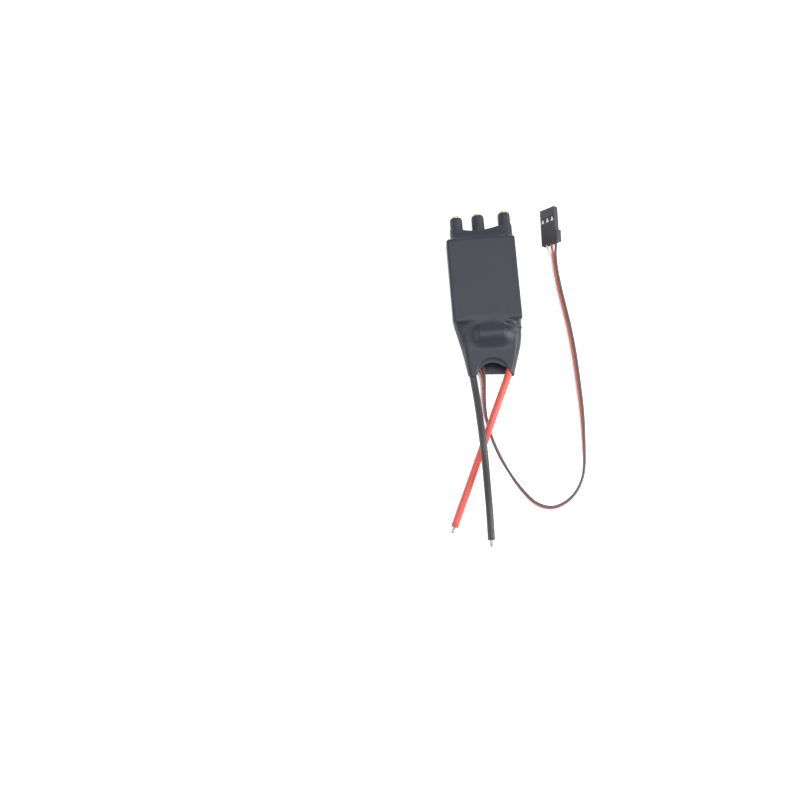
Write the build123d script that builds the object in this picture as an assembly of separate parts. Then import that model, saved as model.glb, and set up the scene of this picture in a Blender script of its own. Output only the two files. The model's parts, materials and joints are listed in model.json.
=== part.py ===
from build123d import *
import math
import os

# Brushless motor speed controller: a circuit board and heat spreader in a heat-shrunk sleeve, with
# three motor sockets at one end and the power wires and signal lead at the other.
# Frame: +Y runs from the wires to the motor sockets, +Z is up, z = 0 is the face it lies on, and
# x = y = 0 is the middle of the housing, wires not counted. All sizes are in millimetres.

# ---------------------------------------------------------------- outer sleeve
SLEEVE_WALL = 0.5
HALF_WIDTH = 13.7            # of the housing over the heat spreader
BLOCK_TOP = 8.0              # height over the heat spreader
MOUTH_Y = -33.9              # wire end of the sleeve
NECK_END_Y = 27.6            # socket end of the sleeve
CORNER = 1.5                 # radius of the sleeve's long edges
NECK_CORNER = 2.4
# y, left edge, right edge, top and corner radius of the sleeve, from the wire end to the sockets
STATIONS = [
    (MOUTH_Y, -9.9, 8.7, 6.3, NECK_CORNER),
    (-28.0, -10.6, 10.7, 6.5, NECK_CORNER),
    (-19.0, -12.1, 13.0, 6.8, CORNER),
    (-13.9, -13.4, 13.6, 6.9, CORNER),
    (-12.4, -HALF_WIDTH, HALF_WIDTH, BLOCK_TOP, CORNER),
    (22.4, -HALF_WIDTH, HALF_WIDTH, BLOCK_TOP, CORNER),
    (23.6, -12.2, 13.65, 6.8, NECK_CORNER),
    (NECK_END_Y, -12.0, 13.6, 6.6, NECK_CORNER),
]

# x and y of three points on each curved cut edge: the upper lip at the wires is drawn back over
# the capacitor, and the socket end is drawn back between the sockets
MOUTH_LIP = [(-6.0, -35.0), (0.5, -29.5), (6.8, -35.0)]
MOUTH_LIP_Z = 2.8            # the lower half of the mouth isn't drawn back
NECK_LIP = [(-14.5, 27.4), (-1.5, 25.0), (14.5, 28.2)]
CUT_CLEAR = 2.0              # how far these cuts run beyond the sleeve

# ---------------------------------------------------------------- board and heat spreader
BOARD_Z, BOARD_THICK = 2.2, 1.6
BOARD_TOP = BOARD_Z + BOARD_THICK
BOARD_HALF_WIDTH = 12.5
BOARD_Y = (-14.2, 21.5)
EAR_END_Y = -18.0            # the board's two ears beside the capacitor reach this far
LEFT_EAR_X = (-11.4, -6.0)
RIGHT_EAR_X = (7.6, 12.3)
CHIP_HEIGHT = 1.1
MOSFET_SIZE = (5.1, 6.1, CHIP_HEIGHT)
MOSFET_X = (-8.4, 0.0, 8.4)  # one column for each motor phase
MOSFET_Y = (4.2, 11.4)
PAD_THICK = 0.5
PAD_Y = (0.6, 15.0)
SPREADER_HALF_WIDTH = 12.7
SPREADER_Y = (-12.2, 21.6)
SPREADER_Z = BOARD_TOP + CHIP_HEIGHT + PAD_THICK
SPREADER_TOP = BLOCK_TOP - SLEEVE_WALL

# ---------------------------------------------------------------- motor sockets, 3.5 mm bullets
SOCKET_X = (-8.85, -0.1, 10.5)
SOCKET_TIP_Y = (33.0, 33.5, 33.9)
SOCKET_Z = 3.25
SOCKET_R, SOCKET_BORE_R, SOCKET_BORE_DEPTH = 2.25, 1.75, 9.0
SOCKET_REAR_Y = 21.8
TAIL_R, TAIL_END_Y = 2.0, 17.9
SOCKET_SLEEVE_R = 2.55
SOCKET_SLEEVE_REAR_Y = 22.1
SOCKET_SLEEVE_SHORT = 0.9    # the bare gold rim beyond each socket's own sleeve

# ---------------------------------------------------------------- capacitor, lying across the end
CAPACITOR_R, CAPACITOR_Y, CAPACITOR_Z = 4.0, -18.5, 4.6
CAPACITOR_X = (-4.2, 5.7)
BUNG_R, BUNG_THICK = 3.4, 0.8
CAPACITOR_LEAD_R, CAPACITOR_LEAD_PITCH = 0.3, 3.5

# ---------------------------------------------------------------- power wires, 16 AWG silicone
POWER_R, POWER_CORE_R, CONDUCTOR_R = 1.4, 0.75, 0.7
PAD_OVERLAP = 4.8            # bare conductor soldered along the ear
TINNED_LENGTH = 2.6          # bare conductor at the free end
CONDUCTOR_Z = BOARD_TOP + CONDUCTOR_R + 0.05
BLACK_ROUTE = [
    (-8.9, -18.3, CONDUCTOR_Z), (-8.5, -26.3, 4.35), (-7.7, -34.6, 4.2), (-7.0, -44.2, 5.7),
    (-6.6, -57.0, 8.7), (-6.3, -67.2, 8.7), (-6.0, -79.5, 4.1), (-5.85, -90.0, 1.6),
    (-6.15, -98.4, 1.42),
]
RED_ROUTE = [
    (10.0, -18.3, CONDUCTOR_Z), (8.9, -26.4, 4.35), (6.3, -34.2, 4.2), (2.75, -41.8, 4.6),
    (-0.7, -49.6, 5.7), (-4.6, -58.4, 5.7), (-8.4, -66.7, 2.7), (-12.6, -76.3, 1.5),
    (-17.3, -86.6, 1.42), (-19.8, -92.4, 1.42),
]

# ---------------------------------------------------------------- signal lead and its plug
LEAD_R, LEAD_PITCH, PLUG_PITCH = 0.55, 1.14, 2.54
PLUG_SIZE = (7.7, 15.1, 2.5)
PLUG_REAR = (28.15, 18.5)
PLUG_TURN, PLUG_ROLL = -2.5, 48.5
PLUG_Z = PLUG_SIZE[0] / 2 * math.sin(math.radians(PLUG_ROLL)) \
    + PLUG_SIZE[2] / 2 * math.cos(math.radians(PLUG_ROLL)) + 0.02
PLUG_WALL_FRONT = 1.6
CAVITY = (1.9, 1.8)
FRONT_HOLE = 1.0
WINDOW = (1.6, 2.1)
WINDOW_FROM_FRONT = 4.9
KEY = (0.9, 5.0)             # how far it stands out, and its length from the rear face
KEY_ROOT = 0.5               # of the key inside the body
CONTACT_BOX, CONTACT_BOX_LENGTH, CONTACT_HOLE = 1.5, 7.0, 0.7
CRIMP_R = 0.7
WIRE_IN_PLUG = 2.4
# x, y, height of the lowest wire, roll of the flat lead from lying flat, and pitch of its wires:
# it leaves the board flat and spread, stands on edge round its loop and leans over again
LEAD_ROUTE = [
    (-7.8, -13.2, 1.5, 0, 1.5), (-7.9, -20.8, 1.45, 2, 1.5), (-5.0, -27.8, 1.3, 12, 1.5),
    (-3.7, -34.8, 1.2, 50, LEAD_PITCH), (-4.4, -42.8, 0.7, 64, LEAD_PITCH),
    (-4.2, -50.6, 0.6, 84, LEAD_PITCH), (-2.4, -58.6, 0.6, 106, LEAD_PITCH),
    (0.2, -66.3, 0.6, 110, LEAD_PITCH), (3.2, -73.2, 0.6, 98, LEAD_PITCH),
    (7.0, -80.0, 0.6, 88, LEAD_PITCH), (12.0, -86.2, 0.6, 84, LEAD_PITCH),
    (18.4, -88.4, 0.6, 84, LEAD_PITCH), (25.0, -85.7, 0.6, 86, LEAD_PITCH),
    (29.7, -80.4, 0.6, 86, LEAD_PITCH), (32.2, -73.7, 0.6, 88, LEAD_PITCH),
    (32.9, -63.0, 0.6, 101, LEAD_PITCH), (33.4, -51.0, 0.6, 120, LEAD_PITCH),
    (33.1, -38.5, 0.6, 130, LEAD_PITCH), (32.8, -27.5, 0.6, 133, LEAD_PITCH),
    (32.0, -17.0, 0.6, 133, LEAD_PITCH), (30.8, -7.5, 0.6, 131, LEAD_PITCH),
    (29.6, 1.5, 0.65, 131, LEAD_PITCH), (29.0, 8.5, 0.9, 131, LEAD_PITCH),
]
FAN_OUT = 4.6                # the wires spread to the plug's pitch over this length
FAN_SHIFT = 0.8              # and the lead arrives this much to the key's side of the plug


# ---------------------------------------------------------------- helpers
def box(x, y, z):
    """A box from its ranges along X, Y and Z."""
    size = (x[1] - x[0], y[1] - y[0], z[1] - z[0])
    return Pos((x[0] + x[1]) / 2, (y[0] + y[1]) / 2, (z[0] + z[1]) / 2) * Box(*size)


def rod_y(x, z, radius, y_from, y_to):
    """A round bar along Y."""
    return Pos(x, (y_from + y_to) / 2, z) * Rot(90, 0, 0) * Cylinder(radius, y_to - y_from)


def rod_x(y, z, radius, x_from, x_to):
    """A round bar along X."""
    return Pos((x_from + x_to) / 2, y, z) * Rot(0, 90, 0) * Cylinder(radius, x_to - x_from)


def corner_radii(points):
    """Each corner's largest arc: 0.45 of its shorter run, over the tangent of half the turn."""
    at = [Vector(*p) for p in points]
    radii = []
    for before, corner, after in zip(at, at[1:], at[2:]):
        run_in, run_out = corner - before, after - corner
        half_turn = math.radians(run_in.get_angle(run_out)) / 2
        radii.append(0.45 * min(run_in.length, run_out.length) / math.tan(half_turn))
    return radii


def cord_path(points, radii, extra_start=0.0, extra_end=0.0):
    """Straight runs joined by tangent arcs, with both ends carried straight on if asked."""
    at = [Vector(*p) for p in points]
    start = at[0] - (at[1] - at[0]).normalized() * extra_start
    end = at[-1] + (at[-1] - at[-2]).normalized() * extra_end
    return FilletPolyline(start, *at[1:-1], end, radius=radii)


def tube(path, radius, core=0.0):
    """A round cord along a path, hollow if it has a core."""
    section = Circle(radius) - Circle(core) if core else Circle(radius)
    solid = sweep(Plane(origin=path @ 0, z_dir=path % 0) * section, path=path)
    expected = math.pi * (radius ** 2 - core ** 2) * path.length
    print(f"    length {path.length:.1f}, volume {solid.volume:.1f}, expected {expected:.1f}")
    return solid


# ---------------------------------------------------------------- sleeve
def sleeve_skin(inset):
    """The sleeve's outline as a solid; with an inset, the space inside it, open at both ends."""
    sections = []
    for index, (y, left, right, top, corner) in enumerate(STATIONS):
        open_end = {0: -1.0, len(STATIONS) - 1: 1.0}.get(index, 0.0) if inset else 0.0
        plane = Plane(origin=((left + right) / 2, y + open_end, top / 2),
                      x_dir=(1, 0, 0), z_dir=(0, -1, 0))
        size = (right - left - 2 * inset, top - 2 * inset)
        sections.append(plane * RectangleRounded(*size, corner - inset))
    return loft(sections, ruled=True) + capacitor_bump(SLEEVE_WALL - inset)


def capacitor_bump(wall):
    """The raised half-round over the capacitor, or with no wall the space that the can needs."""
    gap = 0.15
    radius = CAPACITOR_R + gap + wall
    x_from, x_to = CAPACITOR_X[0] - gap - wall, CAPACITOR_X[1] + gap + wall
    bar = rod_x(CAPACITOR_Y, CAPACITOR_Z, radius, x_from, x_to)
    upper = box((x_from, x_to), (CAPACITOR_Y - radius, CAPACITOR_Y + radius),
                (CAPACITOR_Z, CAPACITOR_Z + radius))
    return bar & upper


def cut_back(points, open_y, z_from):
    """Everything beyond a curved cut edge, from a height up."""
    start, middle, end = points
    edge = ThreePointArc(start, middle, end)
    rest = Polyline(end, (end[0], open_y), (start[0], open_y), start)
    return Pos(0, 0, z_from) * extrude(make_face(edge + rest), BLOCK_TOP + CUT_CLEAR)


def outer_sleeve():
    sleeve = sleeve_skin(0.0) - sleeve_skin(SLEEVE_WALL)
    sleeve -= cut_back(MOUTH_LIP, MOUTH_Y - CUT_CLEAR, MOUTH_LIP_Z)
    return sleeve - cut_back(NECK_LIP, NECK_END_Y + CUT_CLEAR, -CUT_CLEAR)


# ---------------------------------------------------------------- motor sockets
def motor_socket(x, tip_y):
    """A gold female bullet: bored barrel with a rounded rim, and a half-round solder tail."""
    barrel = rod_y(x, SOCKET_Z, SOCKET_R, SOCKET_REAR_Y, tip_y)
    rim = barrel.edges().filter_by(GeomType.CIRCLE).sort_by(Axis.Y)[-1]
    barrel = fillet(rim, 0.35)
    tail = rod_y(x, SOCKET_Z, TAIL_R, TAIL_END_Y, SOCKET_REAR_Y)
    tail &= box((x - TAIL_R, x + TAIL_R), (TAIL_END_Y, SOCKET_REAR_Y),
                (BOARD_TOP + 0.1, SOCKET_Z + TAIL_R))
    bore = rod_y(x, SOCKET_Z, SOCKET_BORE_R, tip_y - SOCKET_BORE_DEPTH, tip_y)
    return barrel + tail - bore


def socket_sleeve(x, tip_y):
    """The short heat-shrunk tube over one motor socket."""
    front = tip_y - SOCKET_SLEEVE_SHORT
    solid = rod_y(x, SOCKET_Z, SOCKET_SLEEVE_R, SOCKET_SLEEVE_REAR_Y, front)
    return solid - rod_y(x, SOCKET_Z, SOCKET_R, SOCKET_SLEEVE_REAR_Y, front)


def motor_solder_joints():
    """A solder fillet each side of the socket tails, on the board's top face."""
    joints = Part()
    for x in SOCKET_X:
        half = TAIL_R + 0.5 if abs(x) < 5 else 1.9
        bed = box((x - half, x + half), (TAIL_END_Y + 0.1, BOARD_Y[1]),
                  (BOARD_TOP, BOARD_TOP + 0.7))
        joints += bed - rod_y(x, SOCKET_Z, TAIL_R, TAIL_END_Y - 1, SOCKET_REAR_Y)
    return joints


# ---------------------------------------------------------------- board, chips, heat spreader
def main_board():
    """The printed board, with an ear each side of the capacitor for the power wires."""
    board = box((-BOARD_HALF_WIDTH, BOARD_HALF_WIDTH), BOARD_Y, (BOARD_Z, BOARD_TOP))
    for ear in (LEFT_EAR_X, RIGHT_EAR_X):
        board += box(ear, (EAR_END_Y, BOARD_Y[0]), (BOARD_Z, BOARD_TOP))
    return board


def chip(x, y, size, on_top):
    """A chip package with a chamfered upper edge, on either face of the board."""
    body = Box(*size)
    body = chamfer(body.faces().sort_by(Axis.Z)[-1].edges(), 0.12)
    if on_top:
        return Pos(x, y, BOARD_TOP + size[2] / 2) * body
    return Pos(x, y, BOARD_Z - size[2] / 2) * Rot(180, 0, 0) * body


def leaded_chip(x, y, body_size, lead_count, lead_pitch, on_top):
    """A chip package with a row of flat leads along each of its two long sides."""
    part = chip(0, 0, body_size, True)
    foot = 0.15
    for side in (-1, 1):
        for index in range(lead_count):
            along = (index - (lead_count - 1) / 2) * lead_pitch
            reach = (body_size[0] / 2 - 0.1) * side
            ends = sorted((reach, reach + 0.9 * side))
            part += box(ends, (along - 0.18, along + 0.18), (BOARD_TOP, BOARD_TOP + foot))
    if not on_top:
        part = Pos(0, 0, BOARD_Z + BOARD_TOP) * Rot(180, 0, 0) * part
    return Pos(x, y, 0) * part


def passive_row(places, size, on_top):
    """A group of small two-terminal parts, one at each place."""
    base = BOARD_TOP if on_top else BOARD_Z - size[2]
    group = Part()
    for x, y in places:
        group += box((x - size[0] / 2, x + size[0] / 2), (y - size[1] / 2, y + size[1] / 2),
                     (base, base + size[2]))
    return group


def heat_spreader():
    """The flat aluminium plate over the upper transistors."""
    plate = box((-SPREADER_HALF_WIDTH, SPREADER_HALF_WIDTH), SPREADER_Y,
                (SPREADER_Z, SPREADER_TOP))
    edges = plate.edges().filter_by(Axis.Y).sort_by(Axis.Z)[-2:]
    return fillet(edges, 0.6)


# ---------------------------------------------------------------- capacitor
def capacitor_can():
    can = rod_x(CAPACITOR_Y, CAPACITOR_Z, CAPACITOR_R,
                CAPACITOR_X[0], CAPACITOR_X[1] - BUNG_THICK)
    return fillet(can.edges().filter_by(GeomType.CIRCLE), 0.4)


def capacitor_leads():
    """Two wires out of the bung that turn back to the board's top face."""
    z = BOARD_TOP + CAPACITOR_LEAD_R
    x = CAPACITOR_X[1]
    half = CAPACITOR_LEAD_PITCH / 2
    near = [(x, CAPACITOR_Y + half, z), (7.3, CAPACITOR_Y + half, z), (7.3, -12.8, z)]
    far = [(x, CAPACITOR_Y - half, z), (8.15, CAPACITOR_Y - half, z), (8.15, -15.0, z)]
    leads = Part()
    for points in (near, far):
        path = FilletPolyline(*points, radius=0.4)
        leads += sweep(Plane(origin=path @ 0, z_dir=path % 0) * Circle(CAPACITOR_LEAD_R), path=path)
    return leads


# ---------------------------------------------------------------- power wires
def power_solder_joints():
    """Solder over the bare conductors on the board's two ears."""
    joints = Part()
    for route in (BLACK_ROUTE, RED_ROUTE):
        x = route[0][0]
        bed = box((x - 1.4, x + 1.4), (EAR_END_Y, -13.6), (BOARD_TOP, BOARD_TOP + 1.0))
        joints += bed - power_conductor(route)
    return joints


def power_conductor(route):
    """The stranded copper core, soldered at one end and stripped and tinned at the other."""
    path = cord_path(route, corner_radii(route), PAD_OVERLAP, TINNED_LENGTH)
    return tube(path, CONDUCTOR_R)


def power_insulation(route):
    path = cord_path(route, corner_radii(route))
    return tube(path, POWER_R, POWER_CORE_R)


# ---------------------------------------------------------------- plug and lead
def plug_frame():
    """The plug's own frame: origin at its middle, +Y to its mating face, +X across its contacts."""
    rear = Pos(PLUG_REAR[0], PLUG_REAR[1], PLUG_Z) * Rot(0, 0, PLUG_TURN) * Rot(0, -PLUG_ROLL, 0)
    return rear * Pos(0, PLUG_SIZE[1] / 2, 0)


def plug_housing():
    """The plug's black moulding: three square cavities, three latch windows and a key."""
    width, length, thick = PLUG_SIZE
    front = length / 2
    body = Box(width, length, thick)
    body = chamfer(body.edges().filter_by(Axis.Y), 0.2)
    body += box((width / 2 - KEY_ROOT, width / 2 + KEY[0]), (-front, KEY[1] - front),
                (-thick / 2, thick / 2))
    for column in (-1, 0, 1):
        x = column * PLUG_PITCH
        half_w, half_h = CAVITY[0] / 2, CAVITY[1] / 2
        body -= box((x - half_w, x + half_w), (-front, front - PLUG_WALL_FRONT), (-half_h, half_h))
        hole = (x - FRONT_HOLE / 2, x + FRONT_HOLE / 2)
        body -= box(hole, (0, front), (-FRONT_HOLE / 2, FRONT_HOLE / 2))
        middle = front - WINDOW_FROM_FRONT
        body -= box((x - WINDOW[0] / 2, x + WINDOW[0] / 2),
                    (middle - WINDOW[1] / 2, middle + WINDOW[1] / 2), (0, thick / 2))
    return plug_frame() * body


def plug_contact(column):
    """A crimp contact: a square socket box with its crimp barrel behind it."""
    length = PLUG_SIZE[1]
    box_front = length / 2 - PLUG_WALL_FRONT
    box_rear = box_front - CONTACT_BOX_LENGTH
    half = CONTACT_BOX / 2
    contact = box((-half, half), (box_rear, box_front), (-half, half))
    hole = CONTACT_HOLE / 2
    contact -= box((-hole, hole), (box_rear + 1.0, box_front), (-hole, hole))
    contact += rod_y(0, 0, CRIMP_R, -length / 2 + WIRE_IN_PLUG, box_rear)
    return plug_frame() * Pos(column * PLUG_PITCH, 0, 0) * contact


def lead_centre_line():
    """Points of the flat lead's middle wire, with the vector to its next wire at each point."""
    points = [Vector(x, y, lowest + pitch * math.sin(math.radians(roll)))
              for x, y, lowest, roll, pitch in LEAD_ROUTE]
    spreads = []
    for index, (centre, (*_, roll, pitch)) in enumerate(zip(points, LEAD_ROUTE)):
        run_in = (centre - points[index - 1]) if index else points[1] - centre
        run_out = (points[index + 1] - centre) if index + 1 < len(points) else run_in
        before = Vector(run_in.X, run_in.Y, 0).normalized()
        after = Vector(run_out.X, run_out.Y, 0).normalized()
        mitre = (before + after) * (1 / (1 + before.dot(after)))
        left = Vector(-mitre.Y, mitre.X, 0)
        angle = math.radians(roll)
        spreads.append((left * math.cos(angle) + Vector(0, 0, math.sin(angle))) * pitch)
    return points, spreads


def lead_wire(column):
    """One wire of the signal lead, from the board to its contact. Columns count across the lead."""
    points, spreads = lead_centre_line()
    route = [centre + spread * column for centre, spread in zip(points, spreads)]
    rear = plug_frame() * Pos(0, -PLUG_SIZE[1] / 2, 0)
    route.append((rear * Pos(column * LEAD_PITCH + FAN_SHIFT, -FAN_OUT, 0)).position)
    for along in (-0.4, WIRE_IN_PLUG):
        route.append((rear * Pos(column * PLUG_PITCH, along, 0)).position)
    radii = corner_radii([tuple(p) for p in route])
    print(f"  lead wire {column:+d}, radii", " ".join(f"{r:.0f}" for r in radii))
    return tube(cord_path([tuple(p) for p in route], radii), LEAD_R)


def signal_solder_joints():
    """A solder bead at the board end of each signal wire, on the board's lower face."""
    x, y, height, _, pitch = LEAD_ROUTE[0]
    joints = Part()
    for column in (-1, 0, 1):
        middle = x + column * pitch
        joints += box((middle - 0.5, middle + 0.5), (y + 0.03, y + 1.6), (height - 0.1, BOARD_Z))
    return joints


# ---------------------------------------------------------------- the parts
def build():
    parts = {"outer_sleeve": outer_sleeve(), "main_board": main_board(),
             "heat_spreader": heat_spreader()}
    parts["thermal_pad"] = box((-11.6, 11.6), PAD_Y, (SPREADER_Z - PAD_THICK, SPREADER_Z))
    for number, (x, tip_y) in enumerate(zip(SOCKET_X, SOCKET_TIP_Y), 1):
        parts[f"motor_socket_{number}"] = motor_socket(x, tip_y)
        parts[f"socket_sleeve_{number}"] = socket_sleeve(x, tip_y)
    parts["motor_solder_joints"] = motor_solder_joints()
    for number, (y, x) in enumerate([(y, x) for y in MOSFET_Y for x in MOSFET_X], 1):
        parts[f"upper_mosfet_{number}"] = chip(x, y, MOSFET_SIZE, True)
        parts[f"lower_mosfet_{number}"] = chip(x, y, MOSFET_SIZE, False)
    parts["microcontroller"] = chip(-2.5, -7.2, (7.0, 7.0, 1.0), True)
    for number, x in enumerate(MOSFET_X, 1):
        parts[f"gate_driver_{number}"] = leaded_chip(x, -2.6, (3.9, 4.9, 1.4), 4, 1.27, False)
    for number, x in enumerate((-2.0, 6.4), 1):
        parts[f"voltage_regulator_{number}"] = leaded_chip(x, -9.8, (3.5, 6.5, 1.6), 3, 2.3, False)
    parts["resonator"] = chip(-10.0, -6.5, (1.3, 3.2, 0.9), True)
    parts["ceramic_capacitors"] = passive_row(
        [(6.2, -8.8), (6.2, -6.4), (6.2, -4.0), (9.6, -8.8), (9.6, -6.4), (9.6, -4.0)],
        (2.0, 1.25, 1.0), True)
    parts["resistors"] = passive_row(
        [(x + shift, -1.2) for x in MOSFET_X for shift in (-2.4, 0.0, 2.4)], (0.8, 1.6, 0.45), True)
    parts["capacitor_can"] = capacitor_can()
    parts["capacitor_bung"] = rod_x(CAPACITOR_Y, CAPACITOR_Z, BUNG_R,
                                    CAPACITOR_X[1] - BUNG_THICK, CAPACITOR_X[1])
    parts["capacitor_leads"] = capacitor_leads()
    for colour, route in (("black", BLACK_ROUTE), ("red", RED_ROUTE)):
        print(f"  {colour} wire, radii", " ".join(f"{r:.0f}" for r in corner_radii(route)))
        parts[f"power_wire_{colour}"] = power_insulation(route)
        parts[f"conductor_{colour}"] = power_conductor(route)
    parts["power_solder_joints"] = power_solder_joints()
    parts["plug_housing"] = plug_housing()
    for column, colour in ((-1, "white"), (0, "red"), (1, "black")):
        parts[f"lead_wire_{colour}"] = lead_wire(column)
        parts[f"plug_contact_{colour}"] = plug_contact(column)
    parts["signal_solder_joints"] = signal_solder_joints()
    return parts


os.makedirs("parts", exist_ok=True)
for name, part in build().items():
    export_step(part, f"parts/{name}.step")
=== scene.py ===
import json
import math

import bmesh
import bpy
import numpy as np
from mathutils import Matrix, Vector


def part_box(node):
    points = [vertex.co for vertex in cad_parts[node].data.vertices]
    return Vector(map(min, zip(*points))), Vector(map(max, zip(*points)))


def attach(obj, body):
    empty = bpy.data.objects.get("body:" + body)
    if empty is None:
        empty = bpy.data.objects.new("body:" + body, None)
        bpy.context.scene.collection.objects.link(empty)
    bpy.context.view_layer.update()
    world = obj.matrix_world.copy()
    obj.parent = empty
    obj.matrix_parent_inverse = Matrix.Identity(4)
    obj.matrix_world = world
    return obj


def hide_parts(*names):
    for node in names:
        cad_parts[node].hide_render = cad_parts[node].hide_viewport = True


# A brushless motor speed controller in its heat-shrunk sleeve, on a pale table. Metres, in the
# frame of the CAD part: +Y from the wires to the motor sockets, +Z up, z = 0 the table.
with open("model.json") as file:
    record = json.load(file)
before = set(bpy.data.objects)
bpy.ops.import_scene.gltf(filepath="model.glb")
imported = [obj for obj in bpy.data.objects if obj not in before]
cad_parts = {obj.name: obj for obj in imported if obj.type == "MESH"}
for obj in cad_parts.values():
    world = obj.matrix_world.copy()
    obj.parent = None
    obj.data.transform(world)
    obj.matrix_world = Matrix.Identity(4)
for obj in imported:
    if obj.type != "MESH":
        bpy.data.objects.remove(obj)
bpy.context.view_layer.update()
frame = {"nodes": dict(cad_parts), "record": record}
NODES = frame["nodes"]
MM = 0.001

scene = bpy.context.scene
scene.view_settings.view_transform = "Standard"

# ---------------------------------------------------------------- camera
AIM = Vector((-0.0368, -0.0403, 0.0))
DISTANCE = 0.588
TILT = math.radians(15.0)      # from straight down
TURN = math.radians(-4.3)      # of the camera about the vertical
LENS, SENSOR = 67.5, 36.0      # in mm
CLIP_START, CLIP_END = 0.01, 20.0


def add_camera():
    data = bpy.data.cameras.new("camera")
    data.lens, data.sensor_width = LENS, SENSOR
    data.clip_start, data.clip_end = CLIP_START, CLIP_END
    camera = bpy.data.objects.new("camera", data)
    scene.collection.objects.link(camera)
    turn = Matrix.Rotation(TURN, 4, "Z") @ Matrix.Rotation(TILT, 4, "X")
    camera.matrix_world = Matrix.Translation(AIM) @ turn @ Matrix.Translation((0, 0, DISTANCE))
    scene.camera = camera


add_camera()


# ---------------------------------------------------------------- mesh helpers
def new_object(name, data):
    piece = bpy.data.objects.new(name, data)
    scene.collection.objects.link(piece)
    return piece


def mesh_object(name, verts, faces, material):
    mesh = bpy.data.meshes.new(name)
    mesh.from_pydata([tuple(v) for v in verts], [], [tuple(f) for f in faces])
    mesh.validate()
    mesh.polygons.foreach_set("use_smooth", [True] * len(mesh.polygons))
    mesh.materials.append(material)
    return new_object(name, mesh)


def grid_faces(rows, columns):
    """Quads of a grid whose rows close on themselves, facing out for rows that turn to the left."""
    faces = []
    for i in range(rows - 1):
        for j in range(columns):
            k = (j + 1) % columns
            faces.append((i * columns + j, i * columns + k,
                          (i + 1) * columns + k, (i + 1) * columns + j))
    return faces


def nurbs_line(points):
    """Points read from a smooth NURBS curve that has these control points."""
    curve = bpy.data.curves.new("route", "CURVE")
    curve.dimensions = "3D"
    curve.resolution_u = 16
    spline = curve.splines.new("NURBS")
    spline.points.add(len(points) - 1)
    for target, point in zip(spline.points, points):
        target.co = (*point, 1.0)
    spline.order_u = 3
    spline.use_endpoint_u = True
    carrier = bpy.data.objects.new("route", curve)
    mesh = bpy.data.meshes.new_from_object(carrier)
    line = np.array([v.co for v in mesh.vertices])
    bpy.data.objects.remove(carrier)
    bpy.data.curves.remove(curve)
    bpy.data.meshes.remove(mesh)
    return line


def unit(vectors):
    return vectors / np.linalg.norm(vectors, axis=-1, keepdims=True)


def line_frames(line):
    """Tangent and two normals at each point of a line, turned no more than the line turns."""
    tangent = unit(np.gradient(line, axis=0))
    normal = np.zeros_like(tangent)
    normal[0] = unit(np.cross(tangent[0], (0.0, 0.0, 1.0)))
    for i in range(1, len(line)):
        normal[i] = unit(normal[i - 1] - tangent[i] * (normal[i - 1] @ tangent[i]))
    return tangent, normal, np.cross(tangent, normal)


def tube(line, sections, sides=20, hollow=False):
    """A tube along a line, its ends capped, or with its last ring joined to its first if hollow.

    Each section is a ring: its point on the line, a shift along from there, and its radius.
    """
    tangent, side, up = line_frames(line)
    angles = np.linspace(0, 2 * math.pi, sides, endpoint=False)
    rings = []
    for index, along, radius in sections:
        centre = line[index] + tangent[index] * along
        around = np.outer(np.cos(angles), side[index]) + np.outer(np.sin(angles), up[index])
        rings.append(centre + around * radius)
    if hollow:
        rings.append(rings[0])
    verts = np.concatenate(rings)
    faces = grid_faces(len(rings), sides)
    if hollow:
        count = sides * (len(rings) - 1)
        return verts[:count], [tuple(k % count for k in face) for face in faces]
    faces.append(tuple(range(sides))[::-1])
    last = (len(rings) - 1) * sides
    faces.append(tuple(last + k for k in range(sides)))
    return verts, faces


def joined(parts):
    """Several (verts, faces) as one."""
    verts, faces, count = [], [], 0
    for part_verts, part_faces in parts:
        verts.append(np.asarray(part_verts))
        faces.extend(tuple(count + k for k in face) for face in part_faces)
        count += len(part_verts)
    return np.concatenate(verts), faces


# ---------------------------------------------------------------- materials
NOISE_LOW, NOISE_HIGH = 0.3, 0.7   # most of a noise texture's values lie between these


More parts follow.
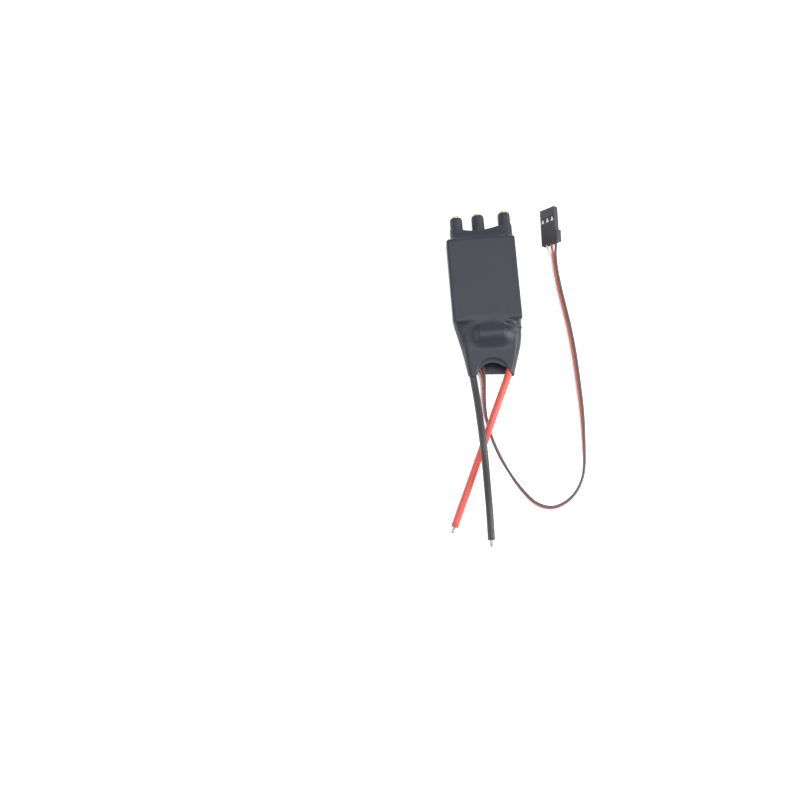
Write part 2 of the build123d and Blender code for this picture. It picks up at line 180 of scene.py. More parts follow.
class Surface:
    """A Principled material whose colour, roughness and bump come from noise in object space."""

    def __init__(self, name, **sockets):
        self.material = bpy.data.materials.new(name)
        self.material.use_nodes = True
        self.nodes = self.material.node_tree.nodes
        self.links = self.material.node_tree.links
        self.shader = next(n for n in self.nodes if n.type == "BSDF_PRINCIPLED")
        for socket, value in sockets.items():
            self.shader.inputs[socket.replace("_", " ")].default_value = value
        self.place = self.nodes.new("ShaderNodeTexCoord").outputs["Object"]

    def noise(self, size, detail=4.0):
        """Noise with features of about this size in metres."""
        node = self.nodes.new("ShaderNodeTexNoise")
        node.inputs["Scale"].default_value = 1.0 / size
        node.inputs["Detail"].default_value = detail
        self.links.new(self.place, node.inputs["Vector"])
        return node.outputs["Fac"]

    def colour(self, source, *stops):
        """Colours that follow the source, each stop a position and a colour."""
        node = self.nodes.new("ShaderNodeValToRGB")
        for element, (position, colour) in zip(node.color_ramp.elements, stops):
            element.position = position
            element.color = (*colour, 1.0)
        self.links.new(source, node.inputs["Fac"])
        self.links.new(node.outputs["Color"], self.shader.inputs["Base Color"])

    def roughness(self, source, low, high):
        node = self.nodes.new("ShaderNodeMapRange")
        node.inputs["From Min"].default_value = NOISE_LOW
        node.inputs["From Max"].default_value = NOISE_HIGH
        node.inputs["To Min"].default_value = low
        node.inputs["To Max"].default_value = high
        self.links.new(source, node.inputs["Value"])
        self.links.new(node.outputs["Result"], self.shader.inputs["Roughness"])

    def bump(self, source, height):
        """Relief of this height in metres."""
        node = self.nodes.new("ShaderNodeBump")
        node.inputs["Strength"].default_value = 1.0
        node.inputs["Distance"].default_value = height
        self.links.new(source, node.inputs["Height"])
        self.links.new(node.outputs["Normal"], self.shader.inputs["Normal"])


def shades(colour, spread):
    """A darker and a lighter version of a colour, as ramp stops."""
    return ((NOISE_LOW, tuple(c * (1 - spread) for c in colour)),
            (NOISE_HIGH, tuple(min(1.0, c * (1 + spread)) for c in colour)))


def plain_surface(name, colour, spread, grain, rough, relief, **sockets):
    """A material whose colour varies by the share spread, and its roughness between the two in
    rough. Grain is the size of its relief and relief the height, in mm."""
    surface = Surface(name, **sockets)
    surface.colour(surface.noise(grain * MM * 4), *shades(colour, spread))
    surface.roughness(surface.noise(grain * MM * 2), *rough)
    surface.bump(surface.noise(grain * MM, 3.0), relief * MM)
    return surface.material


FILM = plain_surface("shrink_film", (0.017, 0.019, 0.031), spread=0.04, grain=2.5,
                     rough=(0.38, 0.45), relief=0.0010, Specular_IOR_Level=0.46)
SILICONE_BLACK = plain_surface("silicone_black", (0.032, 0.031, 0.036), spread=0.08, grain=0.5,
                               rough=(0.32, 0.42), relief=0.004)
SILICONE_RED = plain_surface("silicone_red", (0.58, 0.075, 0.060), spread=0.05, grain=0.5,
                             rough=(0.32, 0.42), relief=0.004, Subsurface_Weight=0.1)
VINYL_BLACK = plain_surface("vinyl_black", (0.085, 0.078, 0.080), spread=0.10, grain=0.4,
                            rough=(0.30, 0.42), relief=0.003)
VINYL_RED = plain_surface("vinyl_red", (0.62, 0.125, 0.100), spread=0.06, grain=0.4,
                          rough=(0.35, 0.5), relief=0.003)
VINYL_WHITE = plain_surface("vinyl_white", (0.80, 0.80, 0.79), spread=0.03, grain=0.4,
                            rough=(0.35, 0.5), relief=0.003)
GOLD = plain_surface("gold_plating", (0.82, 0.69, 0.42), spread=0.06, grain=0.3,
                     rough=(0.20, 0.32), relief=0.003, Metallic=1.0)
TINNED = plain_surface("tinned_copper", (0.46, 0.46, 0.45), spread=0.12, grain=0.2,
                       rough=(0.22, 0.4), relief=0.006, Metallic=1.0)
SOLDER = plain_surface("solder", (0.62, 0.63, 0.64), spread=0.08, grain=0.5,
                       rough=(0.25, 0.42), relief=0.012, Metallic=1.0)
BOARD = plain_surface("circuit_board", (0.012, 0.05, 0.030), spread=0.2, grain=0.6,
                      rough=(0.35, 0.5), relief=0.008)
ALUMINIUM = plain_surface("aluminium", (0.66, 0.67, 0.68), spread=0.06, grain=0.4,
                          rough=(0.28, 0.42), relief=0.006, Metallic=1.0)
PAD = plain_surface("thermal_pad", (0.45, 0.52, 0.58), spread=0.06, grain=0.4,
                    rough=(0.7, 0.85), relief=0.012)
PACKAGE = plain_surface("chip_package", (0.020, 0.020, 0.022), spread=0.15, grain=0.2,
                        rough=(0.55, 0.7), relief=0.006)
CERAMIC = plain_surface("ceramic_part", (0.42, 0.30, 0.18), spread=0.12, grain=0.2,
                        rough=(0.45, 0.6), relief=0.004)
RESISTOR = plain_surface("resistor", (0.025, 0.025, 0.028), spread=0.15, grain=0.2,
                         rough=(0.4, 0.6), relief=0.004)
CAN = plain_surface("capacitor_can", (0.030, 0.032, 0.050), spread=0.10, grain=0.4,
                    rough=(0.3, 0.42), relief=0.004)
BUNG = plain_surface("bung_rubber", (0.030, 0.029, 0.028), spread=0.12, grain=0.3,
                     rough=(0.7, 0.85), relief=0.012)
PLASTIC = plain_surface("moulded_plastic", (0.023, 0.022, 0.027), spread=0.10, grain=0.25,
                        rough=(0.34, 0.46), relief=0.004)
CONTACT = plain_surface("contact_metal", (0.60, 0.60, 0.61), spread=0.10, grain=0.2,
                        rough=(0.3, 0.5), relief=0.006, Metallic=1.0)

# ---------------------------------------------------------------- cords
POWER_R, CONDUCTOR_R = 1.4 * MM, 0.7 * MM
TINNED_LENGTH = 2.6 * MM       # of conductor beyond the insulation's cut end
PAD_OVERLAP = 4.8 * MM         # of conductor beyond its other end, soldered to the board
# length of one turn of the strands, their radius, and the distance between their rings
TWIST, STRAND_R, STRAND_PITCH = 9.0 * MM, 0.14 * MM, 0.275 * MM
STRAND_START = 2.0 * MM        # they begin this far inside the insulation
# shift along and radius, in mm, of the rings that turn the cut end over and in to the conductor
CUT_INSULATION = ((-0.12, 1.40), (-0.03, 1.36), (0.0, 1.27), (0.0, 0.80), (-0.05, 0.75),
                  (-1.5, 0.74))
BLACK_ROUTE = [
    (-0.0089, -0.0183, 0.00455), (-0.0085, -0.0263, 0.00435), (-0.0077, -0.0346, 0.0042),
    (-0.00700, -0.0442, 0.0057), (-0.0066, -0.0570, 0.0087), (-0.0063, -0.0672, 0.0087),
    (-0.0060, -0.0795, 0.0041), (-0.00585, -0.0900, 0.0016), (-0.00615, -0.0984, 0.00142),
]
RED_ROUTE = [
    (0.0100, -0.0183, 0.00455), (0.0089, -0.0264, 0.00435), (0.0063, -0.0342, 0.0042),
    (0.00275, -0.0418, 0.0046), (-0.0007, -0.0496, 0.0057), (-0.0046, -0.0584, 0.0057),
    (-0.0084, -0.0667, 0.0027), (-0.0126, -0.0763, 0.0015), (-0.0173, -0.0866, 0.00142),
    (-0.0198, -0.0924, 0.00142),
]
LEAD_R, LEAD_PITCH, PLUG_PITCH = 0.55 * MM, 0.00114, 0.00254
# x, y, height of the lowest wire, roll of the flat lead from lying flat in degrees, and its pitch
LEAD_ROUTE = [
    (-0.0078, -0.0132, 0.0015, 0, 0.0015), (-0.0079, -0.0208, 0.00145, 2, 0.0015),
    (-0.0050, -0.0278, 0.0013, 12, 0.0015), (-0.0037, -0.0348, 0.0012, 50, LEAD_PITCH),
    (-0.0044, -0.0428, 0.0007, 64, LEAD_PITCH), (-0.0042, -0.0506, 0.0006, 84, LEAD_PITCH),
    (-0.0024, -0.0586, 0.0006, 106, LEAD_PITCH), (0.0002, -0.0663, 0.0006, 110, LEAD_PITCH),
    (0.0032, -0.0732, 0.0006, 98, LEAD_PITCH), (0.0070, -0.0800, 0.0006, 88, LEAD_PITCH),
    (0.0120, -0.0862, 0.0006, 84, LEAD_PITCH), (0.0184, -0.0884, 0.0006, 84, LEAD_PITCH),
    (0.0250, -0.0857, 0.0006, 86, LEAD_PITCH), (0.0297, -0.0804, 0.0006, 86, LEAD_PITCH),
    (0.0322, -0.0737, 0.0006, 88, LEAD_PITCH), (0.0329, -0.0630, 0.0006, 101, LEAD_PITCH),
    (0.0334, -0.0510, 0.0006, 120, LEAD_PITCH), (0.0331, -0.0385, 0.0006, 130, LEAD_PITCH),
    (0.0328, -0.0275, 0.0006, 133, LEAD_PITCH), (0.0320, -0.0170, 0.0006, 133, LEAD_PITCH),
    (0.0308, -0.0075, 0.0006, 131, LEAD_PITCH), (0.0296, 0.0015, 0.00065, 131, LEAD_PITCH),
    (0.0290, 0.0085, 0.0009, 131, LEAD_PITCH),
]
PLUG_REAR = Vector((0.02815, 0.0185, 0.003732))
PLUG_FRAME = Matrix.Translation(PLUG_REAR) @ Matrix.Rotation(math.radians(-2.5), 4, "Z") \
    @ Matrix.Rotation(math.radians(-48.5), 4, "Y")
FAN_OUT, FAN_SHIFT = 4.6 * MM, 1.0 * MM      # where the wires part, behind the plug and sideways
STRAIGHT_OUT, WIRE_IN_PLUG = 0.4 * MM, 2.4 * MM   # of each wire, behind and in the plug
WIRE_LOW = -0.35 * MM          # the wires lie this far from the middle of the plug's holes


def carried_back(line, reach):
    """The line with a straight stretch added before its first point."""
    return np.concatenate([[line[0] - unit(line[1] - line[0]) * reach], line])


def insulation(line):
    """Sections of a silicone tube whose cut end is open round its conductor."""
    last = len(line) - 1
    sections = [(0, 0.0, POWER_R - 0.1 * MM), (0, 0.1 * MM, POWER_R)]
    sections += [(i, 0.0, POWER_R) for i in range(1, last)]
    sections += [(last, along * MM, radius * MM) for along, radius in CUT_INSULATION]
    return sections


def strands(line, seed):
    """Tinned strands out of the cut end: one in the middle with rings of six and twelve."""
    rng = np.random.default_rng(seed)
    tangent = unit(line[-1] - line[-2])
    side = unit(np.cross(tangent, (0.0, 0.0, 1.0)))
    up = np.cross(tangent, side)
    parts = []
    for ring, count in ((0, 1), (1, 6), (2, 12)):
        for k in range(count):
            angle = 2 * math.pi * (k / count + 0.04 * ring)
            reach = TINNED_LENGTH * (1 - rng.uniform(0.0, 0.14))
            splay = rng.uniform(-0.05, 0.12) * MM
            points = []
            for s in np.linspace(-STRAND_START, reach, 12):
                turn = angle + s / TWIST * 2 * math.pi
                out = ring * STRAND_PITCH + max(0.0, s / reach) ** 2 * splay * (ring > 0)
                points.append(line[-1] + tangent * s + side * math.cos(turn) * out
                              + up * math.sin(turn) * out)
            points = np.array(points)
            sections = [(i, 0.0, STRAND_R) for i in range(len(points))]
            sections.append((len(points) - 1, 0.08 * MM, STRAND_R * 0.5))
            parts.append(tube(points, sections, 8))
    return joined(parts)


def power_lead(colour, route, silicone, seed):
    """The silicone tube, its conductor with bare ends, and the line that both follow."""
    line = nurbs_line(route)
    lead = mesh_object(f"power_lead_{colour}", *tube(line, insulation(line), 28), silicone)
    core_line = carried_back(line, PAD_OVERLAP)
    core = tube(core_line, [(i, 0.0, CONDUCTOR_R) for i in range(len(core_line) - 2)], 12)
    ends = mesh_object(f"power_conductor_{colour}", *joined([core, strands(line, seed)]), TINNED)
    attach(lead, "root")
    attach(ends, "root")
    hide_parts(f"power_wire_{colour}")
    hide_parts(f"conductor_{colour}")
    return lead, ends, line


def lead_control_points(column):
    """Control points of one wire of the flat signal lead. Columns -1, 0 and 1 count across it."""
    centres = [Vector((x, y, low + pitch * math.sin(math.radians(roll))))
               for x, y, low, roll, pitch in LEAD_ROUTE]
    points = []
    for index, (centre, (*_, roll, pitch)) in enumerate(zip(centres, LEAD_ROUTE)):
        run_in = centre - centres[index - 1] if index else centres[1] - centre
        run_out = centres[index + 1] - centre if index + 1 < len(centres) else run_in
        before = Vector((run_in.x, run_in.y, 0)).normalized()
        after = Vector((run_out.x, run_out.y, 0)).normalized()
        along = (before + after) / (1 + before.dot(after))
        angle = math.radians(roll)
        spread = Vector((-along.y * math.cos(angle), along.x * math.cos(angle), math.sin(angle)))
        points.append(centre + spread * pitch * column)
    points.append(PLUG_FRAME @ Vector((column * LEAD_PITCH + FAN_SHIFT, -FAN_OUT, 0)))
    for along in (-STRAIGHT_OUT, WIRE_IN_PLUG):
        points.append(PLUG_FRAME @ Vector((column * PLUG_PITCH, along, WIRE_LOW)))
    return points


SHARP_ANGLE = 0.5              # in radians, between the faces at an edge that is rounded
PLUG_EDGE = 0.10 * MM
WINDOW_Y = 10.2                # middle of the plug's latch windows, in mm from its rear face
# half widths and, from the middle of the window, lengths and heights of what stands in it, in mm
TAB = (0.85, (-1.1, 1.1), (0.70, 0.90))
TONGUE = (0.74, (-0.95, 0.85), (0.72, 1.18))
TONGUE_TIP = 0.16              # the tip's width as a share of the foot's


def plug_box(mesh, low, high, narrow=1.0):
    """Adds a block in the plug's own frame, in mm from its rear face; its front may be narrower."""
    middle = (low[0] + high[0]) / 2
    corners = []
    for y, share in ((low[1], 1.0), (high[1], narrow)):
        for x, z in ((low[0], low[2]), (high[0], low[2]), (high[0], high[2]), (low[0], high[2])):
            corner = Vector((middle + (x - middle) * share, y, z)) * MM
            corners.append(mesh.verts.new(PLUG_FRAME @ corner))
    for face in ((0, 1, 2, 3), (7, 6, 5, 4), (0, 4, 5, 1), (1, 5, 6, 2), (2, 6, 7, 3),
                 (3, 7, 4, 0)):
        mesh.faces.new([corners[k] for k in face])


def from_node(node, bevel=0.0):
    """A copy of a CAD node's mesh in flat faces, its edges rounded if asked."""
    mesh = bmesh.new()
    mesh.from_mesh(NODES[node].data)
    bmesh.ops.remove_doubles(mesh, verts=mesh.verts, dist=1e-7)
    bmesh.ops.dissolve_limit(mesh, angle_limit=math.radians(1.0), verts=mesh.verts,
                             edges=mesh.edges)
    if bevel:
        sharp = [edge for edge in mesh.edges
                 if edge.is_manifold and edge.calc_face_angle() > SHARP_ANGLE]
        bmesh.ops.bevel(mesh, geom=sharp, offset=bevel, segments=2, profile=0.5, affect="EDGES",
                        clamp_overlap=True)
    return mesh


def in_window(mesh, column, block, narrow=1.0):
    """Adds the tab or the tongue of one of the three windows."""
    half, along, height = block
    x = column * PLUG_PITCH / MM
    plug_box(mesh, (x - half, WINDOW_Y + along[0], height[0]),
             (x + half, WINDOW_Y + along[1], height[1]), narrow)


def plug_piece(name, mesh, material, node):
    bmesh.ops.recalc_face_normals(mesh, faces=mesh.faces)
    data = bpy.data.meshes.new(name)
    mesh.to_mesh(data)
    mesh.free()
    data.materials.append(material)
    piece = new_object(name, data)
    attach(piece, "root")
    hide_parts(node)
    return piece


def servo_plug():
    """The plug's moulding with a latch tab in each window."""
    mesh = from_node("plug_housing", PLUG_EDGE)
    for column in (-1, 0, 1):
        in_window(mesh, column, TAB)
    return plug_piece("servo_plug", mesh, PLASTIC, "plug_housing")


def servo_contact(colour, column):
    """A crimp contact whose lance stands up in the window as a pointed tongue."""
    mesh = from_node(f"plug_contact_{colour}")
    in_window(mesh, column, TONGUE, TONGUE_TIP)
    return plug_piece(f"servo_contact_{colour}", mesh, CONTACT, f"plug_contact_{colour}")


def signal_wire(colour, column, vinyl):
    """One wire of the signal lead and the line that it follows."""
    line = nurbs_line([tuple(p) for p in lead_control_points(column)])
    sections = [(0, 0.0, LEAD_R * 0.8), (0, 0.1 * MM, LEAD_R)]
    sections += [(i, 0.0, LEAD_R) for i in range(1, len(line))]
    wire = mesh_object(f"signal_lead_{colour}", *tube(line, sections, 20), vinyl)
    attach(wire, "root")
    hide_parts(f"lead_wire_{colour}")
    return wire, line


black_lead, black_ends, black_line = power_lead("black", BLACK_ROUTE, SILICONE_BLACK, seed=3)
red_lead, red_ends, red_line = power_lead("red", RED_ROUTE, SILICONE_RED, seed=7)
plug = servo_plug()
for wire_colour, wire_column, wire_length, vinyl in (
        ("white", -1, 0.2010, VINYL_WHITE), ("red", 0, 0.2003, VINYL_RED),
        ("black", 1, 0.2001, VINYL_BLACK)):
    wire, wire_line = signal_wire(wire_colour, wire_column, vinyl)
    servo_contact(wire_colour, wire_column)

# ---------------------------------------------------------------- outer sleeve
# The film is a tube of rings that shrinks, as the real one does in hot air, on to what is inside
# it. Lengths in this section are in millimetres until the mesh is made.
FILM_THICK = 0.45
FILM_GAP = 0.5                 # from a part inside to the film's outer face
FILM_LOWEST = 0.03             # above the table
RINGS, AROUND = 45, 48         # of the coarsest of the three passes
PASSES = (500, 260, 130)       # steps of each pass
PULL, ALONG_PULL = 0.5, 0.4    # of each step round the film, and the share of it along the film
STEPS_PER_NORMAL = 4           # the way in is worked out afresh each time that this many are done
EVEN_PULL = 1 / 60.0           # how hard the film is drawn in everywhere
SQUARENESS = 0.45              # of the loose tube's sections: 1 is round, and 0 square
BRIM_DROP = 0.8                # of the film over the signal lead, along its cut edge
LIP_ANGLES = (35.0, 90.0, 145.0)   # of the points round a cut edge, in degrees
# y, left and right edge of the film where it narrows towards the wires
OUTLINE = np.array([(-36.0, -9.2, 8.1), (-34.3, -9.3, 8.5), (-28.4, -10.2, 10.4),
                    (-22.9, -11.1, 12.1), (-19.0, -12.0, 12.9), (-13.0, -13.3, 13.4),
                    (-10.0, -13.5, 13.5)])
# x, y, reach along x and y, and strength of each spot where the film is drawn in between parts
HOLLOWS = np.array([
    (-3.0, -14.3, 2.8, 1.6, 0.14), (0.7, -24.2, 5.5, 1.0, 0.22), (-10.8, -12.9, 1.1, 0.7, 0.9),
    (10.1, -12.3, 1.3, 0.45, 1.3), (7.3, -14.8, 0.9, 1.0, 0.8), (-6.3, -17.8, 0.9, 2.2, 0.4)])
CAN_SHIFT = (0.0, 0.7, 0.0)    # the film's bump lies this much nearer the board than the can
TAPER_REACH = 14.0             # a tapered block's test takes in the loose film to this far out


def rounded_way(beyond, corner):
    """Distance from a rounded outline and the way out of it, from how far each point lies beyond
    the middle part of each of its sides."""
    outside = np.maximum(beyond, 0)
    reach = np.linalg.norm(outside, axis=1)
    within = np.minimum(beyond.max(axis=1), 0)
    nearest = np.eye(beyond.shape[1])[beyond.argmax(axis=1)]
    way = np.where((reach > 1e-9)[:, None], outside / np.maximum(reach, 1e-9)[:, None], nearest)
    return reach + within - corner, way


def rounded_box(low, high, corner):
    """What a box with rounded edges does to the film: a function that gives, at each of many
    points, its distance and the way out of it, and the lowest and highest corner."""
    low, high = np.array(low, float), np.array(high, float)
    centre, half = (low + high) / 2, (high - low) / 2 - corner

    def measure(points):
        offset = points - centre
        distance, way = rounded_way(np.abs(offset) - half, corner)
        return distance, way * np.where(offset < 0, -1.0, 1.0)

    return measure, low, high


def rounded_bar(low, high, axis, corner=0.4):
    """The same for a round bar along an axis, from its box."""
    low, high = np.array(low, float), np.array(high, float)
    centre, half = (low + high) / 2, (high - low) / 2
    across = [k for k in range(3) if k != axis]
    radius, length = half[across[0]] - corner, half[axis] - corner

    def measure(points):
        offset = points - centre
        flat = offset[:, across]
        spoke = np.linalg.norm(flat, axis=1)
        beyond = np.stack([spoke - radius, np.abs(offset[:, axis]) - length], axis=1)
        distance, way = rounded_way(beyond, corner)
        out = np.zeros_like(points)
        out[:, across] = flat / np.maximum(spoke, 1e-9)[:, None] * way[:, :1]
        out[:, axis] = way[:, 1] * np.where(offset[:, axis] < 0, -1.0, 1.0)
        return distance, out

    return measure, low, high


def round_line(line, radius):
    """The same for a wire along a line, which is first filled with close points."""
    steps = np.linalg.norm(np.diff(line, axis=0), axis=1)
    along = np.concatenate([[0], np.cumsum(steps)])
    places = np.arange(0, along[-1], 0.15)
    line = np.stack([np.interp(places, along, line[:, k]) for k in range(3)], axis=1)

    def measure(points):
        apart = points[:, None, :] - line[None, :, :]
        squares = (apart ** 2).sum(axis=2)
        nearest = squares.argmin(axis=1)
        rows = np.arange(len(points))
        distance = np.sqrt(squares[rows, nearest])
        return distance - radius, apart[rows, nearest] / np.maximum(distance, 1e-9)[:, None]

    return measure, line.min(axis=0) - radius, line.max(axis=0) + radius


def tapered_block(low_z, high_z, corner, inset):
    """The same for a block this far inside the film's outline, in its cross sections."""
    low_y, high_y = OUTLINE[0, 0], OUTLINE[-1, 0]

    def measure(points):
        left = np.interp(points[:, 1], OUTLINE[:, 0], OUTLINE[:, 1]) + inset
        right = np.interp(points[:, 1], OUTLINE[:, 0], OUTLINE[:, 2]) - inset
        offset = np.stack([points[:, 0] - (left + right) / 2, points[:, 2] - (low_z + high_z) / 2],
                          axis=1)
        half = np.stack([(right - left) / 2, np.full(len(points), (high_z - low_z) / 2)], axis=1)
        distance, way = rounded_way(np.abs(offset) - (half - corner), corner)
        way = way * np.where(offset < 0, -1.0, 1.0)
        return distance, np.stack([way[:, 0], np.zeros(len(points)), way[:, 1]], axis=1)

    return (measure, np.array((-TAPER_REACH, low_y, low_z)),
            np.array((TAPER_REACH, high_y, high_z)))


def node_corners(node):
    """Lowest and highest corner of a CAD node, in mm."""
    low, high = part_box(node)
    return np.array(low) / MM, np.array(high) / MM


def inside_parts():
    """What holds the film out: the parts, and the slack that air and wires leave in it."""
    parts = []
    # the flat block over the heat spreader, its wire end set back between two ears
    low, high = node_corners("heat_spreader")
    left, right, rear, front = low[0] - 0.5, high[0] + 0.5, low[1], high[1] + 0.3
    parts.append(rounded_box((left, rear + 1.6, low[2]), (right, front, high[2]), 0.4))
    parts.append(rounded_box((left, rear, low[2]), (-9.0, rear + 4, high[2]), 0.4))
    parts.append(rounded_box((8.0, rear, low[2]), (right, rear + 4, high[2]), 0.4))
    parts.append(rounded_box((left, rear, low[2]), (right, rear + 4, high[2] - 0.2), 0.5))
    parts.append(rounded_box((left, rear, 1.6), (right, front, 6.0), 0.9))
    # the board, the chips on it, the socket sleeves and the capacitor
    low, high = node_corners("main_board")
    parts.append(rounded_box((low[0] - 0.2, -14.2, low[2] - 1.2),
                             (high[0] + 0.2, high[1], high[2]), 0.9))
    for number in range(1, 7):
        low, high = node_corners(f"lower_mosfet_{number}")
        parts.append(rounded_box((low[0], low[1], 0.57), high, 0.3))
    for node in ("voltage_regulator_1", "voltage_regulator_2", "gate_driver_1", "gate_driver_2",
                 "gate_driver_3"):
        low, high = node_corners(node)
        parts.append(rounded_box((low[0], low[1], 0.6), high, 0.3))
    for number in range(1, 4):
        low, high = node_corners(f"socket_sleeve_{number}")
        parts.append(rounded_bar(low - (-0.2, 3, -0.2), high - (0.2, 0, 0.2), 1))
    low, high = node_corners("capacitor_can")
    parts.append(rounded_bar(low + CAN_SHIFT, high + (0.8, 0, 0) + np.array(CAN_SHIFT), 0, 0.3))
    # the power wires, then the slack between the wires, the capacitor and the film
    for line in (black_line, red_line):
        near = line[line[:, 1] > -0.039] / MM
        parts.append(round_line(near, POWER_R / MM - 0.15))
        parts.append(round_line(carried_back(line, PAD_OVERLAP)[:2] / MM, 0.9))
    parts.append(tapered_block(1.0, 4.6, 1.6, FILM_GAP))
    parts.append(tapered_block(1.0, 5.6, 2.2, FILM_GAP + 0.2))
    fold = np.array([(4.6, -11.6, 7.2), (8.5, -13.2, 6.7), (12.4, -15.6, 4.9)])
    parts.append(round_line(fold, 0.35))
    parts.append(rounded_box((-5.5, -28.5, 0.7), (6.5, -21.0, 5.5), 1.0))
    parts.append(rounded_box((-4.8, -36.0, 0.62), (5.4, -27.9, 5.3), 1.0))
    return parts


def smooth_step(start, end, value):
    """From 0 at the start to 1 at the end, which may be the lower value."""
    t = np.clip((value - start) / (end - start), 0, 1)
    return t * t * (3 - 2 * t)


def mouth_lip(x, z):
    """How far the film reaches towards the wires: an arch over them, nearly straight under them."""
    left, right = np.maximum(-x, 0), np.maximum(x, 0)
    over = -29.1 - 0.060 * left ** 2 - 0.0105 * left ** 3 - 0.088 * right ** 2
    over = np.maximum(over, -34.3 + 0.9 * smooth_step(-8.6, -9.8, x))
    under = -32.5 - 0.06 * x - 1.2 * smooth_step(5.5, 8.0, np.abs(x))
    return under + (over - under) * smooth_step(1.6, 4.4, z)


def neck_lip(x):
    """How far the film reaches along the sockets."""
    left, right = np.maximum(-1.5 - x, 0), np.maximum(x + 1.5, 0)
    return 25.4 + np.minimum(0.036 * left ** 2 - 0.0009 * left ** 3, 2.0) \
        + np.minimum(0.024 * right ** 2 - 0.0006 * right ** 3, 2.8)


def first_film():
    """The loose tube before it shrinks, drawn through rounded sections of the housing."""
    # y, left and right edge, and top
    stations = np.array([
        (-34.3, -10.2, 9.2, 7.0), (-28.0, -11.2, 11.2, 8.0), (-19.0, -12.9, 13.4, 10.2),
        (-13.0, -14.2, 14.2, 9.5), (-11.0, -14.4, 14.4, 8.6), (22.4, -14.4, 14.4, 8.6),
        (27.6, -13.0, 14.4, 7.2)])
    turn = np.linspace(0, 2 * math.pi, AROUND, endpoint=False)
    rings = []
    for y in np.linspace(-32.5, 26.0, RINGS):
        left, right, top = (np.interp(y, stations[:, 0], stations[:, k]) for k in (1, 2, 3))
        x = np.sign(np.cos(turn)) * np.abs(np.cos(turn)) ** SQUARENESS
        z = np.sign(np.sin(turn)) * np.abs(np.sin(turn)) ** SQUARENESS
        rings.append(np.stack([(left + right) / 2 - x * (right - left) / 2, np.full(AROUND, y),
                               (top - 0.4) / 2 + z * (top + 0.4) / 2], axis=1))
    return np.array(rings)


def film_normals(rings):
    """The way out at each point of the film."""
    around = np.roll(rings, -1, axis=1) - np.roll(rings, 1, axis=1)
    along = np.gradient(rings, axis=0)
    return unit(np.cross(around, along))


def draw_in(rings):
    """How hard the film is drawn in at each point: a little everywhere, more over the hollows."""
    strength = np.full(rings.shape[:2], EVEN_PULL)
    over = smooth_step(4.0, 5.0, rings[:, :, 2])
    for x, y, reach_x, reach_y, pull in HOLLOWS:
        away = ((rings[:, :, 0] - x) / reach_x) ** 2 + ((rings[:, :, 1] - y) / reach_y) ** 2
        strength += pull * over * np.exp(-away)
    return strength[:, :, None]


def shrink(rings, parts, steps):
    """Pulls the film tight round itself, and less along itself, and keeps it off the parts."""
    for step in range(steps):
        hoop = (np.roll(rings, 1, axis=1) + np.roll(rings, -1, axis=1)) / 2 - rings
        length = np.zeros_like(rings)
        length[1:-1] = (rings[:-2] + rings[2:]) / 2 - rings[1:-1]
        length[0] = (rings[1] - rings[0]) * (1, 0, 1) * 0.5
        length[-1] = (rings[-2] - rings[-1]) * (1, 0, 1) * 0.5
        if step % STEPS_PER_NORMAL == 0:
            spacing = np.linalg.norm(np.diff(rings, axis=1), axis=2).mean()
            inward = film_normals(rings) * draw_in(rings) * (0.5 * PULL * spacing ** 2)
        moved = rings + hoop * PULL + length * ALONG_PULL * PULL - inward
        flat = moved.reshape(-1, 3)
        for measure, low, high in parts:
            reached = (flat > low - FILM_GAP) & (flat < high + FILM_GAP)
            near = np.flatnonzero(np.all(reached, axis=1))
            if len(near) == 0:
                continue
            distance, way = measure(flat[near])
            push = np.maximum(FILM_GAP - distance, 0)
            flat[near] += way * push[:, None]
        flat[:, 2] = np.maximum(flat[:, 2], FILM_LOWEST)
        rings = flat.reshape(moved.shape)
        rings[0, :, 1] = mouth_lip(rings[0, :, 0], rings[0, :, 2])
        rings[-1, :, 1] = neck_lip(rings[-1, :, 0])
    return rings


def finer(rings):
    """Twice as many rings, each of twice as many points."""
    wide = np.empty((rings.shape[0], rings.shape[1] * 2, 3))
    wide[:, ::2] = rings
    wide[:, 1::2] = (rings + np.roll(rings, -1, axis=1)) / 2
    tall = np.empty((rings.shape[0] * 2 - 1, wide.shape[1], 3))
    tall[::2] = wide
    tall[1::2] = (wide[:-1] + wide[1:]) / 2
    return tall


def lower_lip(rings):
    """Lowers the film over the signal lead to a narrow brim along its cut edge."""
    steps = np.linalg.norm(np.diff(rings, axis=0), axis=2)
    along = np.concatenate([np.zeros((1, rings.shape[1])), np.cumsum(steps, axis=0)])
    x, z = rings[0, :, 0], rings[0, :, 2]
    over = smooth_step(2.6, 4.2, z) * smooth_step(-6.6, -4.8, x) * smooth_step(6.4, 4.6, x)
    drop = BRIM_DROP * smooth_step(2.3, 0.45, along)
    return rings - film_normals(rings) * (drop * over)[:, :, None]


def film_mesh(rings):
    """Outer face, rounded lips and inner face of the film, as one closed surface."""
    normals = film_normals(rings)
    half = FILM_THICK / 2
    middle = rings - normals * half
    turned = []
    for end, outward in ((0, rings[0] - rings[1]), (-1, rings[-1] - rings[-2])):
        outward = unit(outward)
        lip = [middle[end] + (normals[end] * math.cos(a) + outward * math.sin(a)) * half
               for a in np.radians(LIP_ANGLES)]
        turned.append(lip)
    inner = rings - normals * FILM_THICK
    loop = [*turned[0][::-1], *rings, *turned[1], *inner[::-1]]
    rows, columns = len(loop), rings.shape[1]
    verts = np.concatenate(loop)
    faces = grid_faces(rows, columns)
    last = (rows - 1) * columns
    for j in range(columns):
        k = (j + 1) % columns
        faces.append((last + j, last + k, k, j))
    return verts * MM, faces


def outer_film():
    """The shrunk film's outer face, from a coarse grid made finer between the passes."""
    parts = inside_parts()
    rings = first_film()
    for number, steps in enumerate(PASSES):
        if number:
            rings = finer(rings)
        rings = shrink(rings, parts, steps)
    return lower_lip(rings)


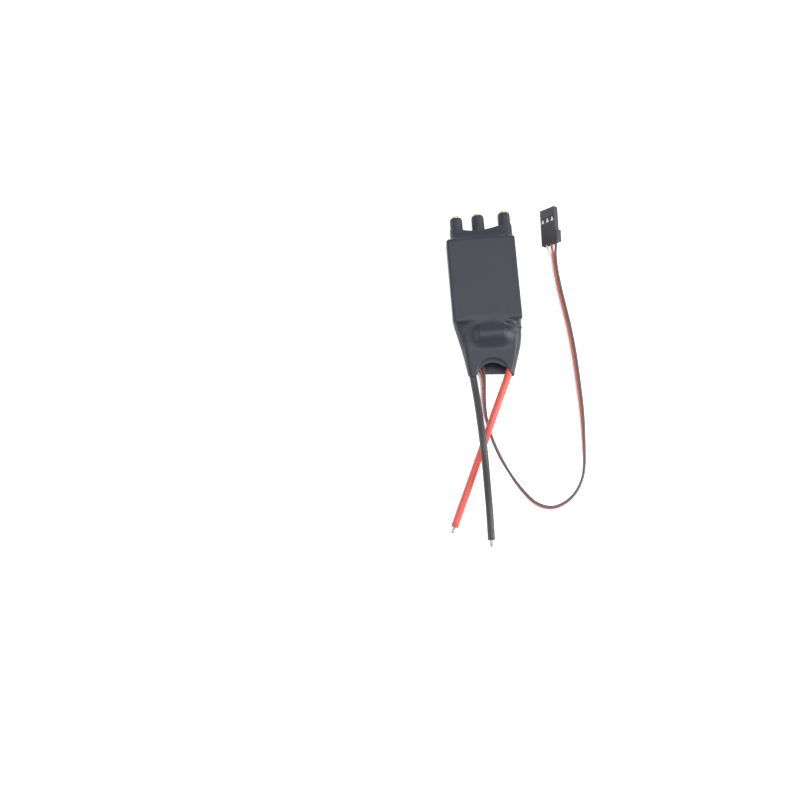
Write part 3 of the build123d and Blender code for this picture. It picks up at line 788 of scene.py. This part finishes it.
film = outer_film()
sleeve = mesh_object("shrink_sleeve", *film_mesh(film), FILM)
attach(sleeve, "root")
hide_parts("outer_sleeve")


# ---------------------------------------------------------------- sleeves over the motor sockets
TUBE_THICK = 0.3 * MM
# shift along and growth of the radius, in mm, of the rings up to and round the outer cut end
CUT_TUBE = ((-6.0, 0.0), (-4.0, -0.02), (-2.0, 0.0), (-1.2, 0.0), (-0.7, -0.02), (-0.4, -0.05),
            (-0.2, -0.09), (-0.07, -0.14), (0.0, -0.20), (-0.02, -0.26))


def socket_sleeve(number):
    """A short shrunk tube whose outer cut end is rounded over."""
    low, high = (np.array(corner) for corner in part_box(f"socket_sleeve_{number}"))
    centre, radius = (low + high) / 2, (high[0] - low[0]) / 2
    line = np.array([(centre[0], low[1], centre[2]), (centre[0], high[1], centre[2])])
    bore = radius - TUBE_THICK
    sections = [(0, 0.0, radius - 0.08 * MM), (0, 0.1 * MM, radius)]
    sections += [(1, shift * MM, radius + grow * MM) for shift, grow in CUT_TUBE]
    sections += [(1, -0.2 * MM, bore), (0, 0.0, bore)]
    piece = mesh_object(f"shrunk_tube_{number}", *tube(line, sections, 48, hollow=True), FILM)
    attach(piece, "root")
    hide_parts(f"socket_sleeve_{number}")


for socket in (1, 2, 3):
    socket_sleeve(socket)

# ---------------------------------------------------------------- materials of the CAD nodes
NODE_MATERIALS = {
    "sleeve_film": FILM, "socket_film": FILM, "gold": GOLD, "solder": SOLDER, "board": BOARD,
    "spreader": ALUMINIUM, "thermal_pad": PAD, "chip_package": PACKAGE, "ceramic_part": CERAMIC,
    "resistor": RESISTOR, "capacitor_can": CAN, "bung": BUNG, "tinned_copper": TINNED,
    "plug_plastic": PLASTIC, "contact_metal": CONTACT, "silicone_black": SILICONE_BLACK,
    "silicone_red": SILICONE_RED, "lead_white": VINYL_WHITE, "lead_red": VINYL_RED,
    "lead_black": VINYL_BLACK,
}
for entry in frame["record"]["subparts"]:
    for material_slot in NODES[entry["node"]].material_slots:
        material_slot.material = NODE_MATERIALS[entry["material_slot"]]


# ---------------------------------------------------------------- table, light
FLOOR_HALF, FLOOR_Z = 1.5, -0.00005
FLOOR_GLOW, WORLD_STRENGTH = 0.6, 0.78


def add_stage():
    """A pale table that glows a little, as a light table does, under an even white sky."""
    floor_surface = Surface("table_top", Roughness=0.75, Emission_Strength=FLOOR_GLOW)
    floor_surface.shader.inputs["Emission Color"].default_value = (1.0, 1.0, 1.0, 1.0)
    floor_surface.colour(floor_surface.noise(0.05), *shades((0.93, 0.93, 0.935), 0.01))
    floor_surface.bump(floor_surface.noise(0.002), 0.02 * MM)
    corners = [(x * FLOOR_HALF, y * FLOOR_HALF, FLOOR_Z)
               for x, y in ((-1, -1), (1, -1), (1, 1), (-1, 1))]
    floor = mesh_object("table_top", corners, [(0, 1, 2, 3)], floor_surface.material)
    world = bpy.data.worlds.new("studio")
    world.use_nodes = True
    background = next(n for n in world.node_tree.nodes if n.type == "BACKGROUND")
    background.inputs["Color"].default_value = (1.0, 1.0, 1.0, 1.0)
    background.inputs["Strength"].default_value = WORLD_STRENGTH
    scene.world = world


def add_area_light(name, position, size, power):
    """A round soft light that faces the object. Size is in metres and power in watts."""
    data = bpy.data.lights.new(name, "AREA")
    data.shape = "DISK"
    data.size = size
    data.energy = power
    light = bpy.data.objects.new(name, data)
    scene.collection.objects.link(light)
    light.location = position
    light.rotation_euler = (AIM - light.location).to_track_quat("-Z", "Y").to_euler()


add_stage()
add_area_light("overhead", Vector((0.08, 0.0, 1.10)), 0.9, 4.5)
add_area_light("right", Vector((1.0, 0.0, 0.60)), 0.6, 8.5)
add_area_light("left", Vector((-1.1, 0.1, 0.35)), 0.5, 1.0)
